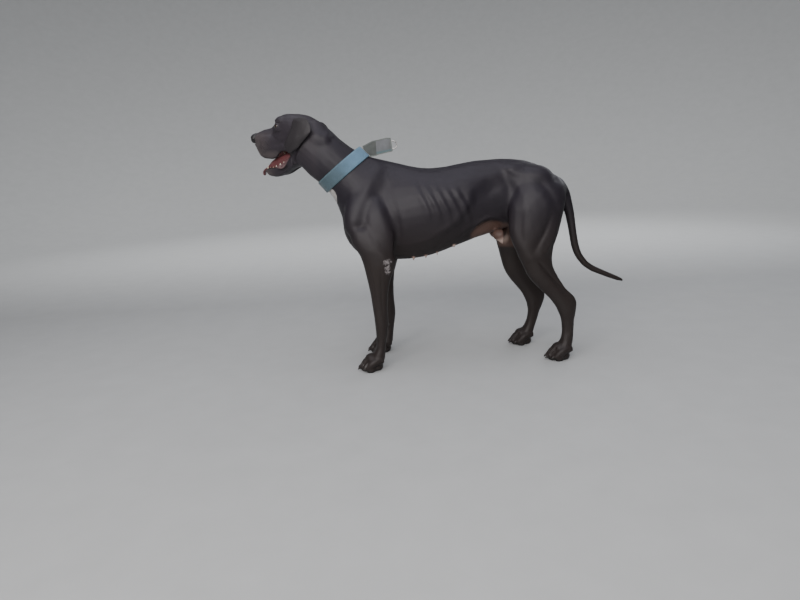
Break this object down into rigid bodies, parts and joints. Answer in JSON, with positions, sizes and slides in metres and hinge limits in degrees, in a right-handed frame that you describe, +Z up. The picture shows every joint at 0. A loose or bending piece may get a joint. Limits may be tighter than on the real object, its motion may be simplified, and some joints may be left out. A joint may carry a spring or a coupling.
{
  "type": "great dane",
  "caption": "Life-size still model of a standing great dane with drop ears, an open mouth, a long hanging tail and a broad webbing collar",
  "frame": {"origin": "on the floor, under the middle of the whole model's bounding box", "axes": "+X runs from nose to tail along the longest side, +Y is the dog's right, +Z is up"},
  "size_m": [1.3884, 0.2954, 0.9551],
  "materials": {
    "coat": "short glossy black fur over skin",
    "eye": "wet, glossy, dark brown",
    "nose_leather": "moist pebbled black leather",
    "tongue": "moist and soft",
    "collar_webbing": "woven nylon webbing",
    "collar_tab": "padded woven tab with bound edges",
    "collar_ring": "polished steel wire"
  },
  "bodies": {
    "root": {"abdomen": "coat", "chest": "coat", "collar": "collar_webbing", "collar_ring": "collar_ring", "collar_tab": "collar_tab", "head": "coat", "hindquarters": "coat", "left_ear": "coat", "left_eye": "eye", "left_forearm": "coat", "left_front_paw": "coat", "left_gaskin": "coat", "left_hind_paw": "coat", "left_shoulder": "coat", "left_thigh": "coat", "lower_jaw": "coat", "neck": "coat", "nose": "nose_leather", "right_ear": "coat", "right_eye": "eye", "right_forearm": "coat", "right_front_paw": "coat", "right_gaskin": "coat", "right_hind_paw": "coat", "right_shoulder": "coat", "right_thigh": "coat", "tail_middle": "coat", "tail_root": "coat", "tail_tip": "coat", "tongue": "tongue"}
  },
  "joints": []
}
